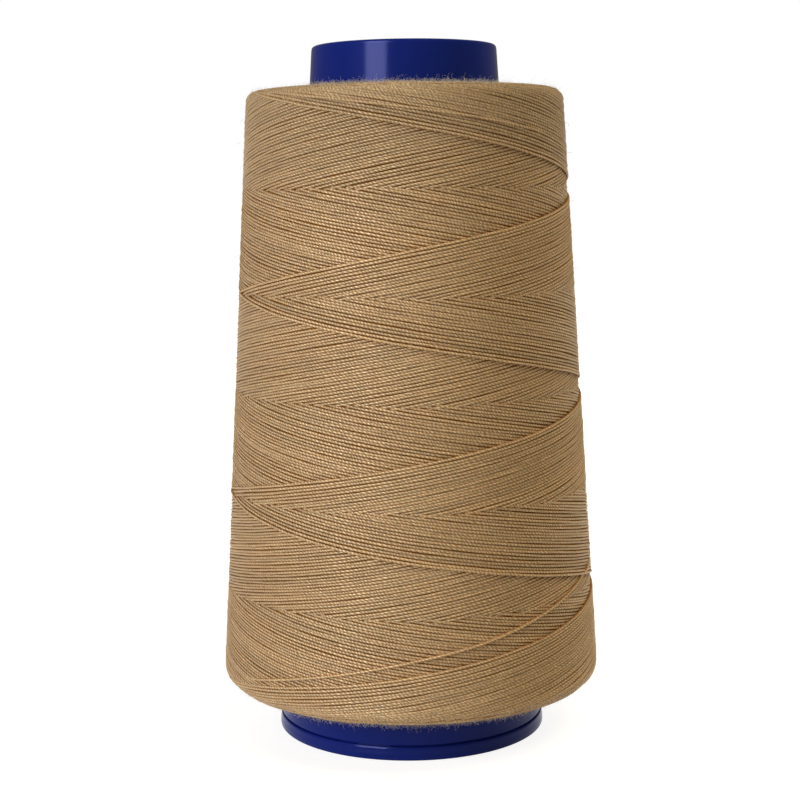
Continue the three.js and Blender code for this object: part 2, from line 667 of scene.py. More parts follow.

        # Painted shade darkens the grooves between the plies, by a depth that changes along a strand,
        # and felt and wear near the top fill the grooves.
        filled = add_node(
            tree, MATHS, {0: state.handled_and_shaded, 1: -self.handled_filling, 2: 1.0}, operation="MULTIPLY_ADD"
        )
        plain = add_node(
            tree, MATHS, {0: state.felted, 1: -self.felting, 2: filled}, operation="MULTIPLY_ADD"
        )
        depth = add_node(tree, MATHS, {0: state.drift, 1: plain}, operation="MULTIPLY")
        between = add_node(tree, MATHS, {0: 1.0, 1: state.ply}, operation="SUBTRACT")
        hidden = add_node(tree, MATHS, {0: depth, 1: between}, operation="MULTIPLY")
        shown = add_node(tree, MATHS, {0: 1.0, 1: hidden}, operation="SUBTRACT")
        plied = add_node(tree, MIX, {0: shown, 6: to_linear(self.groove), 7: lit}, data_type="RGBA")

        # Painted shade: each strand's flanks are darkened, as if its neighbours shaded them.
        white = to_linear("#ffffff")
        shade = add_node(
            tree, MIX, {0: state.open_side, 6: to_linear(self.shade), 7: white}, data_type="RGBA"
        )
        shaded = add_node(tree, "ShaderNodeVectorMath", {0: plied, 1: shade}, operation="MULTIPLY")
        bright = self.brightness(tree, state)
        return add_node(tree, "ShaderNodeVectorMath", {0: shaded, 1: bright}, operation="MULTIPLY")

    def brightness(self, tree: bpy.types.NodeTree, state: ThreadState) -> Source:
        """Adds the nodes that make strands, slubs, fibres and specks lighter or darker, and darken the top
        with painted shade.

        Args:
            tree: the material's tree.
            state: what the thread is like.

        Returns:
            A factor for the colour, about 1.
        """
        tone = add_node(tree, ATTRIBUTE, attribute_name="tone").outputs["Fac"]
        slubs, specks = (
            add_node(tree, NOISE, {"Vector": state.place, "Scale": scale, "Detail": detail})
            for scale, detail in ((self.slubs_per_metre, 1.0), (self.specks_per_metre, 2.0))
        )
        slubbed = add_node(
            tree, MATHS, {0: slubs, 1: self.slub_contrast, 2: self.darkest}, operation="MULTIPLY_ADD"
        )
        toned = add_node(tree, MATHS, {0: tone, 1: self.tone_contrast, 2: slubbed}, operation="MULTIPLY_ADD")
        streaked = add_node(
            tree, MATHS, {0: state.fibres, 1: self.fibre_light, 2: self.fibre_dark}, operation="MULTIPLY_ADD"
        )
        even = add_node(tree, MATHS, {0: toned, 1: streaked}, operation="MULTIPLY")
        rise = add_node(tree, MATHS, {0: state.felted, 1: self.least_speckle}, operation="MAXIMUM")
        swing = add_node(
            tree, MATHS, {0: specks, 1: self.speckle, 2: -0.5 * self.speckle}, operation="MULTIPLY_ADD"
        )
        speckle = add_node(tree, MATHS, {0: rise, 1: swing}, operation="MULTIPLY")
        speckled = add_node(tree, MATHS, {0: even, 1: speckle})
        # Painted shade: the thread is darkened towards the top.
        top_shaded = add_node(
            tree, MATHS, {0: state.handled_and_shaded, 1: -self.top_painted_shade, 2: 1.0}, operation="MULTIPLY_ADD"
        )
        return add_node(tree, MATHS, {0: speckled, 1: top_shaded}, operation="MULTIPLY")

    def relief(self, tree: bpy.types.NodeTree, state: ThreadState) -> Source:
        """Adds the nodes that raise plies and fibres.

        Args:
            tree: the material's tree.
            state: what the thread is like.

        Returns:
            The height, in millimetres.
        """
        plies = add_node(tree, MATHS, {0: state.ply, 1: self.ply_relief}, operation="MULTIPLY")
        raised = add_node(
            tree, MATHS, {0: state.handled_and_shaded, 1: self.handled_relief, 2: 1.0}, operation="MULTIPLY_ADD"
        )
        coarse = add_node(tree, MATHS, {0: plies, 1: raised}, operation="MULTIPLY")
        return add_node(
            tree, MATHS, {0: state.fibres, 1: self.fibre_relief, 2: coarse}, operation="MULTIPLY_ADD"
        )

    def rough(self, tree: bpy.types.NodeTree, state: ThreadState) -> Source:
        """Adds the nodes that make beads and fibres glossier, and thread near the top rougher.

        Args:
            tree: the material's tree.
            state: what the thread is like.

        Returns:
            The roughness.
        """
        rough: Source | float = self.roughness
        changes = (
            (state.handled_and_shaded, self.handled_roughness),
            (state.fibres, -self.fibre_gloss),
            (state.bead, -self.bead_gloss),
        )
        for amount, change in changes:
            rough = add_node(tree, MATHS, {0: amount, 1: change, 2: rough}, operation="MULTIPLY_ADD")
        return rough


@dataclass(frozen=True)
class BuriedThread(Finish):
    """The same spun thread a layer down, seen only as dark ground through gaps between turns: quite matt,
    with ridges where covered turns lie and slubs of about 1.4 mm. Its colour is darker and deeper than the
    thread's, and darker between the ridges: painted shade, for thread in the shadow of the turns over it."""

    name: str = "buried_thread_painted_shade"
    light: str = "#b07c32"
    dark: str = "#7e541a"
    ridge_pitch: float = 0.76
    ridge_relief: float = 0.12
    ridge_distortion: float = 1.5
    grain_per_metre: float = 700.0
    roughness: float = 0.95
    specular: float = 0.1

    def surface(self, tree: bpy.types.NodeTree) -> dict[str, object]:
        """Works on Object coordinates.

        Args:
            tree: the material's tree.

        Returns:
            The shader's inputs.
        """
        place = add_node(tree, "ShaderNodeTexCoord").outputs["Object"]
        ridges = add_node(
            tree,
            "ShaderNodeTexWave",
            {
                "Vector": place,
                "Scale": TURN / (20 * self.ridge_pitch * MM),
                "Distortion": self.ridge_distortion,
                "Detail": 1.0,
            },
            bands_direction="Z",
        ).outputs["Fac"]
        grain = add_node(tree, NOISE, {"Vector": place, "Scale": self.grain_per_metre, "Detail": 2.0})
        light = add_node(tree, MATHS, {0: ridges, 1: grain}, operation="MULTIPLY")
        # Painted shade: the colour is darkest between the ridges, and grain varies it.
        colour = add_node(
            tree, MIX, {0: light, 6: to_linear(self.dark), 7: to_linear(self.light)}, data_type="RGBA"
        )
        bump = add_node(tree, "ShaderNodeBump", {"Height": ridges, "Distance": self.ridge_relief * MM})
        return {
            "Base Color": colour,
            "Roughness": self.roughness,
            "Specular IOR Level": self.specular,
            "Normal": bump,
        }


@dataclass(frozen=True)
class LooseFibre(Finish):
    """Broken polyester fibre ends that stand off spun thread: thin and soft, with little gloss, and lighter
    or darker by tufts about 1 mm wide. By default its colours are nearly white: painted light, for thin
    fibres that lamps shine through from behind."""

    name: str = "loose_fibre_painted_light"
    pale: str = "#f4f1ec"
    deep: str = "#dcd0c0"
    tufts_per_metre: float = 900.0
    roughness: float = 0.6
    specular: float = 0.3

    def surface(self, tree: bpy.types.NodeTree) -> dict[str, object]:
        """Works on Object coordinates.

        Args:
            tree: the material's tree.

        Returns:
            The shader's inputs.
        """
        place = add_node(tree, "ShaderNodeTexCoord").outputs["Object"]
        tufts = add_node(tree, NOISE, {"Vector": place, "Scale": self.tufts_per_metre, "Detail": 1.0})
        colour = add_node(
            tree, MIX, {0: tufts, 6: to_linear(self.deep), 7: to_linear(self.pale)}, data_type="RGBA"
        )
        return {"Base Color": colour, "Roughness": self.roughness, "Specular IOR Level": self.specular}


@dataclass(frozen=True)
class MouldedPlastic(Finish):
    """Injection-moulded polypropylene in royal blue: a deep even colour under a soft gloss, with the faint
    waviness and the fine rub marks round it of a part that has been handled. Its waves are about 17 mm wide,
    and its marks 1.1 mm apart, which is coarser than real ones, so that they show."""

    name: str = "moulded_polypropylene"
    blue: str = "#16298a"
    light_blue: str = "#1a2e93"
    gloss_tint: str = "#b9bfff"
    clouds_per_metre: float = 60.0
    rubs_per_metre: tuple[float, float, float] = (40.0, 40.0, 900.0)
    rub_relief: float = 0.012
    rub_strength: float = 0.6
    rub_roughness: float = 0.12
    roughness: float = 0.09
    ior: float = 1.49
    specular: float = 0.175

    def surface(self, tree: bpy.types.NodeTree) -> dict[str, object]:
        """Works on Object coordinates.

        Args:
            tree: the material's tree.

        Returns:
            The shader's inputs.
        """
        place = add_node(tree, "ShaderNodeTexCoord").outputs["Object"]
        clouds = add_node(tree, NOISE, {"Vector": place, "Scale": self.clouds_per_metre, "Detail": 3.0})
        stretched = add_node(tree, "ShaderNodeMapping", {"Vector": place, "Scale": self.rubs_per_metre})
        rubs = add_node(tree, NOISE, {"Vector": stretched, "Scale": 1.0, "Detail": 4.0})
        colour = add_node(
            tree, MIX, {0: clouds, 6: to_linear(self.blue), 7: to_linear(self.light_blue)}, data_type="RGBA"
        )
        worn = add_node(tree, MATHS, {0: rubs, 1: self.rub_roughness}, operation="MULTIPLY")
        rough = add_node(tree, MATHS, {0: worn, 1: self.roughness})
        bump = add_node(
            tree,
            "ShaderNodeBump",
            {"Height": rubs, "Distance": self.rub_relief * MM, "Strength": self.rub_strength},
        )
        return {
            "Base Color": colour,
            "Roughness": rough,
            "Normal": bump,
            "IOR": self.ior,
            "Specular IOR Level": self.specular,
            "Specular Tint": to_linear(self.gloss_tint),
        }


@dataclass(frozen=True)
class PaperFloor(Finish):
    """Seamless white studio paper: matt and lit, with a painted glow that is fainter near the spool, so that
    only a faint shadow shows on it there.
    """

    name: str = "white_studio_paper"
    white: str = "#bcbcbc"
    roughness: float = 0.95
    specular: float = 0.1
    near: float = 0.1
    far: float = 0.7
    near_glow: float = 0.84
    far_glow: float = 0.96
    mirrored_glow: float = 0.72

    def surface(self, tree: bpy.types.NodeTree) -> dict[str, object]:
        """Works on Object coordinates. Its glow is seen, and mirrored in gloss, and lights nothing else.

        Args:
            tree: the material's tree.

        Returns:
            The shader's inputs.
        """
        ray = add_node(tree, "ShaderNodeLightPath").outputs
        seen = add_node(
            tree,
            MATHS,
            {0: ray["Is Glossy Ray"], 1: self.mirrored_glow, 2: ray["Is Camera Ray"]},
            operation="MULTIPLY_ADD",
        )
        place = add_node(tree, "ShaderNodeTexCoord").outputs["Object"]
        distance = add_node(tree, "ShaderNodeVectorMath", {0: place}, operation="LENGTH")
        # Painted glow: fainter near the spool and brighter far from it.
        spread = add_node(
            tree,
            RANGE,
            {
                "Value": distance,
                "From Min": self.near,
                "From Max": self.far,
                "To Min": self.near_glow,
                "To Max": self.far_glow,
            },
            interpolation_type="SMOOTHSTEP",
        )
        glow = add_node(tree, MATHS, {0: seen, 1: spread}, operation="MULTIPLY")
        return {
            "Base Color": to_linear(self.white),
            "Roughness": self.roughness,
            "Specular IOR Level": self.specular,
            "Emission Color": to_linear("#ffffff"),
            "Emission Strength": glow,
        }


# ---- Strand sweep, shared by every strand of thread --------------------------------------------------


@dataclass
class Strand:
    """One strand: its centre line in millimetres, its outward direction, its brightness, which is about 0.5,
    and its girth against the usual one. The last three may be given once for all its points."""

    points: np.ndarray
    outward: np.ndarray
    tone: float | np.ndarray
    girth: float | np.ndarray = 1.0

    def __post_init__(self) -> None:
        """Gives each point its own direction, brightness and girth."""
        self.outward = np.broadcast_to(self.outward, self.points.shape)
        self.tone, self.girth = (np.broadcast_to(v, len(self.points)) for v in (self.tone, self.girth))

    @property
    def length(self) -> float:
        """The centre line's length, in millimetres."""
        return float(np.linalg.norm(np.diff(self.points, axis=0), axis=1).sum())


def lines_of(name: str, strands: list[Strand]) -> bpy.types.Object:
    """Makes an object of loose edges from strands.

    Args:
        name: the object's name.
        strands: the strands.

    Returns:
        The object, with outward, tone, girth, phase and strand on its vertices.
    """
    counts = [len(strand.points) for strand in strands]
    starts = np.cumsum([0, *counts])
    edges = np.concatenate(
        [np.stack([np.arange(s, s + n - 1), np.arange(s + 1, s + n)], 1) for s, n in zip(starts, counts)]
    )
    mesh = mesh_of(name, np.concatenate([strand.points for strand in strands]), [], edges)
    phases = np.random.default_rng(len(counts)).uniform(0, 10 * TURN, len(counts))
    set_attribute(mesh, "phase", "FLOAT", np.repeat(phases, counts))
    set_attribute(mesh, "outward", "FLOAT_VECTOR", np.concatenate([strand.outward for strand in strands]))
    set_attribute(mesh, "tone", "FLOAT", np.concatenate([strand.tone for strand in strands]))
    set_attribute(mesh, "girth", "FLOAT", np.concatenate([strand.girth for strand in strands]))
    set_attribute(mesh, "strand", "INT", np.repeat(np.arange(len(counts)), counts))
    return make_object(name, mesh)


@dataclass
class StrandSweep:
    """Sweeps strands of thread along their centre lines with Geometry Nodes."""

    half_width: float = 0.36
    half_depth: float = 0.38
    sides: int = 8
    side_texels: float = 1.35
    gap_texels: float = 1.2
    tree: bpy.types.NodeTree | None = None

    def make_tree(self) -> bpy.types.NodeTree:
        """Builds the sweep's node tree.

        Returns:
            The tree.
        """
        inputs = {
            "Centre Lines": "Geometry",
            "Half Width": "Float",
            "Half Depth": "Float",
            "Sides": "Int",
            "Finish": "Material",
        }
        tree = new_group("strand_sweep", inputs, "Strands")
        given = add_node(tree, "NodeGroupInput").outputs

        curve = add_node(tree, "GeometryNodeMeshToCurve", {"Mesh": given["Centre Lines"]})
        outward = add_node(tree, NAMED, {"Name": "outward"}, data_type="FLOAT_VECTOR")
        upright = add_node(
            tree, "GeometryNodeSetCurveNormal", {"Curve": curve, "Normal": outward}, mode="FREE"
        )
        run = add_node(tree, "GeometryNodeSplineParameter").outputs["Length"]
        run_mm = add_node(tree, MATHS, {0: run, 1: 1 / MM}, operation="MULTIPLY")
        measured = add_node(
            tree,
            "GeometryNodeStoreNamedAttribute",
            {"Geometry": upright, "Name": "along", "Value": run_mm},
            data_type="FLOAT",
            domain="POINT",
        )

        circle = add_node(
            tree, "GeometryNodeCurvePrimitiveCircle", {"Resolution": given["Sides"], "Radius": 1.0}
        )
        marked = add_node(
            tree,
            "GeometryNodeStoreNamedAttribute",
            {"Geometry": circle, "Name": "around", "Value": add_node(tree, "GeometryNodeInputPosition")},
            data_type="FLOAT_VECTOR",
            domain="POINT",
        )
        size = add_node(
            tree, "ShaderNodeCombineXYZ", {0: given["Half Depth"], 1: given["Half Width"], 2: 1.0}
        )
        profile = add_node(tree, "GeometryNodeTransform", {"Geometry": marked, "Scale": size})

        girth = add_node(tree, NAMED, {"Name": "girth"}, data_type="FLOAT")
        tube = add_node(
            tree,
            "GeometryNodeCurveToMesh",
            {"Curve": measured, "Profile Curve": profile, "Scale": girth, "Fill Caps": True},
        )
        soft = add_node(tree, "GeometryNodeSetShadeSmooth", {"Geometry": tube})
        real = add_node(tree, "GeometryNodeRealizeInstances", {"Geometry": soft})
        dressed = add_node(tree, "GeometryNodeSetMaterial", {"Geometry": real, "Material": given["Finish"]})
        add_node(tree, "NodeGroupOutput", {0: dressed})
        return tree

    def sweep(self, name: str, strands: list[Strand], finish: bpy.types.Material) -> bpy.types.Object:
        """Makes one piece of many strands.

        Args:
            name: the piece's name.
            strands: the strands.
            finish: the thread's material.

        Returns:
            The piece, a plain mesh with a bake map.
        """
        if self.tree is None:
            self.tree = self.make_tree()
        values = {
            "Half Width": self.half_width * MM,
            "Half Depth": self.half_depth * MM,
            "Sides": self.sides,
            "Finish": finish,
        }
        mesh = run_nodes(lines_of(f"{name}_lines", strands), self.tree, values)
        mesh.name = name
        self.lay_out(mesh)
        LOG.info("%s: %.1f m of thread", name, sum(strand.length for strand in strands) * MM)
        return make_object(name, mesh)

    def lay_out(self, mesh: bpy.types.Mesh) -> None:
        """Gives a mesh of strands a bake map on which each strand is one straight strip.

        Args:
            mesh: the strands, with the attributes along, around and strand.
        """
        along, around, strand = (read_attribute(mesh, name) for name in ("along", "around", "strand"))
        longest = np.zeros(strand.max() + 1)
        np.maximum.at(longest, strand, along)

        corners = np.empty(len(mesh.loops), np.int32)
        mesh.loops.foreach_get("vertex_index", corners)
        totals = np.empty(len(mesh.polygons), np.int32)
        mesh.polygons.foreach_get("loop_total", totals)
        side = np.round(np.arctan2(around[:, 1], around[:, 0]) / TURN * self.sides) % self.sides
        at_corner = side[corners]

        # A face across the seam, between the last side and the first, has its first side put past the last.
        firsts = np.concatenate([[0], np.cumsum(totals)[:-1]])
        highest = np.repeat(np.maximum.reduceat(at_corner, firsts), totals)
        quads = np.repeat(totals == 4, totals)
        wrapped = quads & (highest == self.sides - 1) & (at_corner == 0)
        at_corner = np.where(wrapped, self.sides, at_corner)

        row_height = self.sides * self.side_texels + self.gap_texels
        start, row, rows, scale = pack_strips(longest, row_height)
        which = strand[corners]
        across = (row[which] * row_height) + at_corner * self.side_texels
        run = (start[which] + along[corners]) * scale
        uv = np.stack([BAKE_MARGIN + run, BAKE_MARGIN + across], 1) / BAKE_SIDE
        layer = mesh.uv_layers.new(name=BAKE_MAP, do_init=False)
        layer.uv.foreach_set("vector", uv.astype(np.float32).ravel())
        LOG.info("%s: %d strands in %d rows, %.1f texels a millimetre", mesh.name, len(longest), rows, scale)


def pack_strips(
    lengths: np.ndarray, row_height: float, gap: float = 0.5
) -> tuple[np.ndarray, np.ndarray, int, float]:
    """Lays strips of given lengths in the rows of a square bake map, as long as they can be.

    Args:
        lengths: the strips' lengths, in millimetres.
        row_height: a row's height, in the map's texels.
        gap: the millimetres between two strips in a row.

    Returns:
        Each strip's start in its row in millimetres, its row, the number of rows, and texels a millimetre.
    """
    usable = BAKE_SIDE - 2 * BAKE_MARGIN
    most_rows = int(usable // row_height)
    longest_first = np.argsort(-lengths)
    room = max(lengths.max(), lengths.sum() / most_rows) * 1.01
    while True:
        used: list[float] = []
        start, row = np.zeros(len(lengths)), np.zeros(len(lengths), int)
        for k in longest_first:
            need = lengths[k] + gap
            r = next((r for r, filled in enumerate(used) if filled + need <= room), len(used))
            if r == len(used):
                used.append(0.0)
            start[k], row[k] = used[r], r
            used[r] += need
        if len(used) <= most_rows:
            return start, row, len(used), (usable - 1) / room
        room *= 1.03


# ---- Sub-assemblies ----------------------------------------------------------------------------------


def lathe(name: str, profile: np.ndarray, segments: int) -> bpy.types.Mesh:
    """Turns a closed profile about the upright axis.

    Args:
        name: the mesh's name.
        profile: rows of radius and height, anticlockwise when seen with the axis on the left.
        segments: steps round the axis.

    Returns:
        The mesh.
    """
    angle = np.linspace(0, TURN, segments, endpoint=False)
    radius, height = profile[:, 0, None], profile[:, 1, None]
    level = np.broadcast_to(height, (len(profile), segments))
    points = np.stack([radius * np.cos(angle), radius * np.sin(angle), level], -1)
    return mesh_of(name, points.reshape(-1, 3), ring_faces(len(profile), segments, closed=True))


def ring_faces(rings: int, segments: int, closed: bool) -> np.ndarray:
    """Joins rings of vertices with quads, which face outwards when the rings run up the outside.

    Args:
        rings: how many rings there are.
        segments: how many vertices a ring has.
        closed: whether the last ring joins the first.

    Returns:
        Four vertex numbers for each quad.
    """
    lower = np.arange(rings if closed else rings - 1)[:, None]
    upper = (lower + 1) % rings
    a = np.arange(segments)[None, :]
    b = (a + 1) % segments
    corners = [lower * segments + a, lower * segments + b, upper * segments + b, upper * segments + a]
    return np.stack(corners, -1).reshape(-1, 4)


def arc(centre: tuple[float, float], size: float, start: float, end: float, steps: int) -> np.ndarray:
    """Points of an arc in a profile, from one angle to another in degrees."""
    angle = np.radians(np.linspace(start, end, steps + 1))
    return np.stack([centre[0] + size * np.cos(angle), centre[1] + size * np.sin(angle)], 1)


@dataclass
class Core:
    """The hollow tapered core: one moulding with a lip and a fine groove at its foot, open at both ends."""

    height: float
    lip_radius: float
    wall: float = 1.6
    nose_radius: float = 22.65
    nose_rounding: float = 0.8
    nose_inner_rounding: float = 0.35
    foot_radius: float = 33.15
    foot_inner_rounding: float = 0.3
    lip_height: float = 3.3
    lip_rounding: float = 0.45
    lip_step: float = 0.15
    step_height: float = 1.1
    step_length: float = 1.55
    lip_chamfer: float = 0.34
    chamfer_slope: float = 20.0
    lip_top_rounding: float = 0.16
    lip_draft: float = 0.01
    lip_lead: float = 0.05
    groove_width: float = 0.5
    groove_depth: float = 0.75
    groove_chamfer: float = 0.1
    side_margins: tuple[float, float] = (0.25, 0.3)
    inner_margin: float = 0.6
    segments: int = 256
    sharp_angle: float = 40.0

    def outer(self, height: np.ndarray | float) -> np.ndarray | float:
        """The outer radius at a height above the lip."""
        above = (height - self.lip_height) / (self.height - self.lip_height)
        return self.foot_radius + (self.nose_radius - self.foot_radius) * above

    def lip_edge(self) -> np.ndarray:
        """Draws the lip's upper edge: a narrow chamfer between two tight roundings.

        Returns:
            Rows of radius and height.
        """
        slope, top = math.radians(self.chamfer_slope), self.lip_top_rounding
        high = self.lip_height - top * (1 - math.sin(slope))
        low = high - self.lip_chamfer * math.cos(slope)
        wall = self.lip_radius - self.lip_step
        edge = wall - self.lip_draft - self.lip_chamfer * math.sin(slope)
        rounded = arc((edge - top * math.cos(slope), self.lip_height - top), top, self.chamfer_slope, 90, 5)
        return np.concatenate([[[wall, low - self.lip_lead], [wall - self.lip_draft, low]], rounded])

    def profile(self) -> np.ndarray:
        """Draws the wall's profile, up the outside and down the inside.

        Returns:
            Rows of radius and height.
        """
        lip, groove_top = self.lip_height, self.lip_height + self.groove_width
        foot_inner, nose_inner = self.foot_radius - self.wall, self.nose_radius - self.wall
        inner_foot, inner_nose = self.foot_inner_rounding, self.nose_inner_rounding
        rounding, nose = self.lip_rounding, self.nose_rounding
        step = np.linspace(0.0, 1.0, 7)
        step_heights = self.step_height + self.step_length * step
        above, below = self.side_margins
        side_heights = np.linspace(groove_top + above, self.height - nose - below, 24)
        inner_heights = np.linspace(self.height - self.inner_margin, self.inner_margin, 20)
        inner_radii = foot_inner + (nose_inner - foot_inner) * (inner_heights / self.height)
        groove = self.foot_radius - self.groove_depth
        return np.concatenate(
            [
                arc((foot_inner + inner_foot, inner_foot), inner_foot, 225, 270, 3),
                arc((self.lip_radius - rounding, rounding), rounding, -90, 0, 6),
                np.stack([self.lip_radius - self.lip_step * smooth(step, 0.0, 1.0), step_heights], 1),
                self.lip_edge(),
                [[groove, lip], [groove, groove_top - self.groove_chamfer]],
                [[self.outer(groove_top), groove_top]],
                np.stack([self.outer(side_heights), side_heights], 1),
                arc((self.nose_radius - nose, self.height - nose), nose, 0, 90, 8),
                arc((nose_inner + inner_nose, self.height - inner_nose), inner_nose, 90, 180, 4),
                np.stack([inner_radii, inner_heights], 1),
            ]
        )

    def build(self) -> bpy.types.Object:
        """Builds the core, shaded smooth but for its sharp edges.

        Returns:
            The piece.
        """
        mesh = lathe("core_moulding", self.profile(), self.segments)
        mesh.shade_smooth()
        mesh.set_sharp_from_angle(angle=math.radians(self.sharp_angle))
        made = make_object("core_moulding", mesh)
        edges = made.modifiers.new("edges", "WEIGHTED_NORMAL")
        edges.keep_sharp = True
        depsgraph = bpy.context.evaluated_depsgraph_get()
        smoothed = bpy.data.meshes.new_from_object(made.evaluated_get(depsgraph), depsgraph=depsgraph)
        made.modifiers.remove(edges)
        made.data = smoothed
        return made

    def dress(self, made: bpy.types.Object) -> None:
        """Gives the core its finish and its place in the frame.

        Args:
            made: the piece.
        """
        made.data.materials.append(MouldedPlastic().build())
        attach(made, "root")
        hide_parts("core")


@dataclass
class PackageBody:
    """The mass of thread under the outermost turns. It closes the gaps between them."""

    law: WindingLaw
    core: Core
    depth: float = 0.5
    clearance: float = 0.32
    segments: int = 160
    rings: tuple[int, int, int] = (9, 120, 9)

    def build(self) -> bpy.types.Object:
        """Builds the body a little under the strands, with the winding's relief.

        Returns:
            The piece, a closed ring round the core.
        """
        package = self.law.package
        stops = (package.bottom_rim, package.side_start, package.side_end, package.top_rim)
        rings, angle, _ = self.law.surface(through(stops, self.rings), self.segments, self.depth)
        a = np.radians(angle[0])
        bore = []
        for height in (package.top - self.depth, package.bottom + self.depth):
            radius = self.core.outer(height) + self.clearance
            bore.append(np.stack([radius * np.sin(a), -radius * np.cos(a), np.full_like(a, height)], -1))
        rings = np.concatenate([rings, np.stack(bore)])
        faces = ring_faces(len(rings), self.segments, closed=True)
        mesh = mesh_of("package_body", rings.reshape(-1, 3), faces)
        mesh.shade_smooth()
        return make_object("package_body", mesh)

    def dress(self, made: bpy.types.Object) -> None:
        """Gives the body its finish and its place in the frame."""
        made.data.materials.append(BuriedThread().build())
        seat_thread(made)


def seat_thread(made: bpy.types.Object) -> None:
    """Puts a piece of the wound thread under the root body, and hides the imported thread.

    Args:
        made: the piece.
    """
    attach(made, "root")
    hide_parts("thread")


class Layer(Enum):
    """Outermost turns by how lately they were laid. The value is the range of ages, in parts of a turn."""

    FRESH = (0.0, 0.18)
    MIDDLE = (0.18, 0.42)
    OLD = (0.42, 1.0)

    @classmethod
    def of(cls, age: float) -> "Layer":
        """The layer that a turn of some age is in."""
        return next(layer for layer in cls if layer.value[0] <= age < layer.value[1])


@dataclass(frozen=True)
class Stray:
    """A single strand that lies across the others.

    Its path runs through places of an angle and a rise, proud is how far its middle line stands above the
    winding, and tone is its brightness.
    """

    stroke: Stroke
    proud: float
    tone: float
    path: tuple[tuple[float, float], ...]


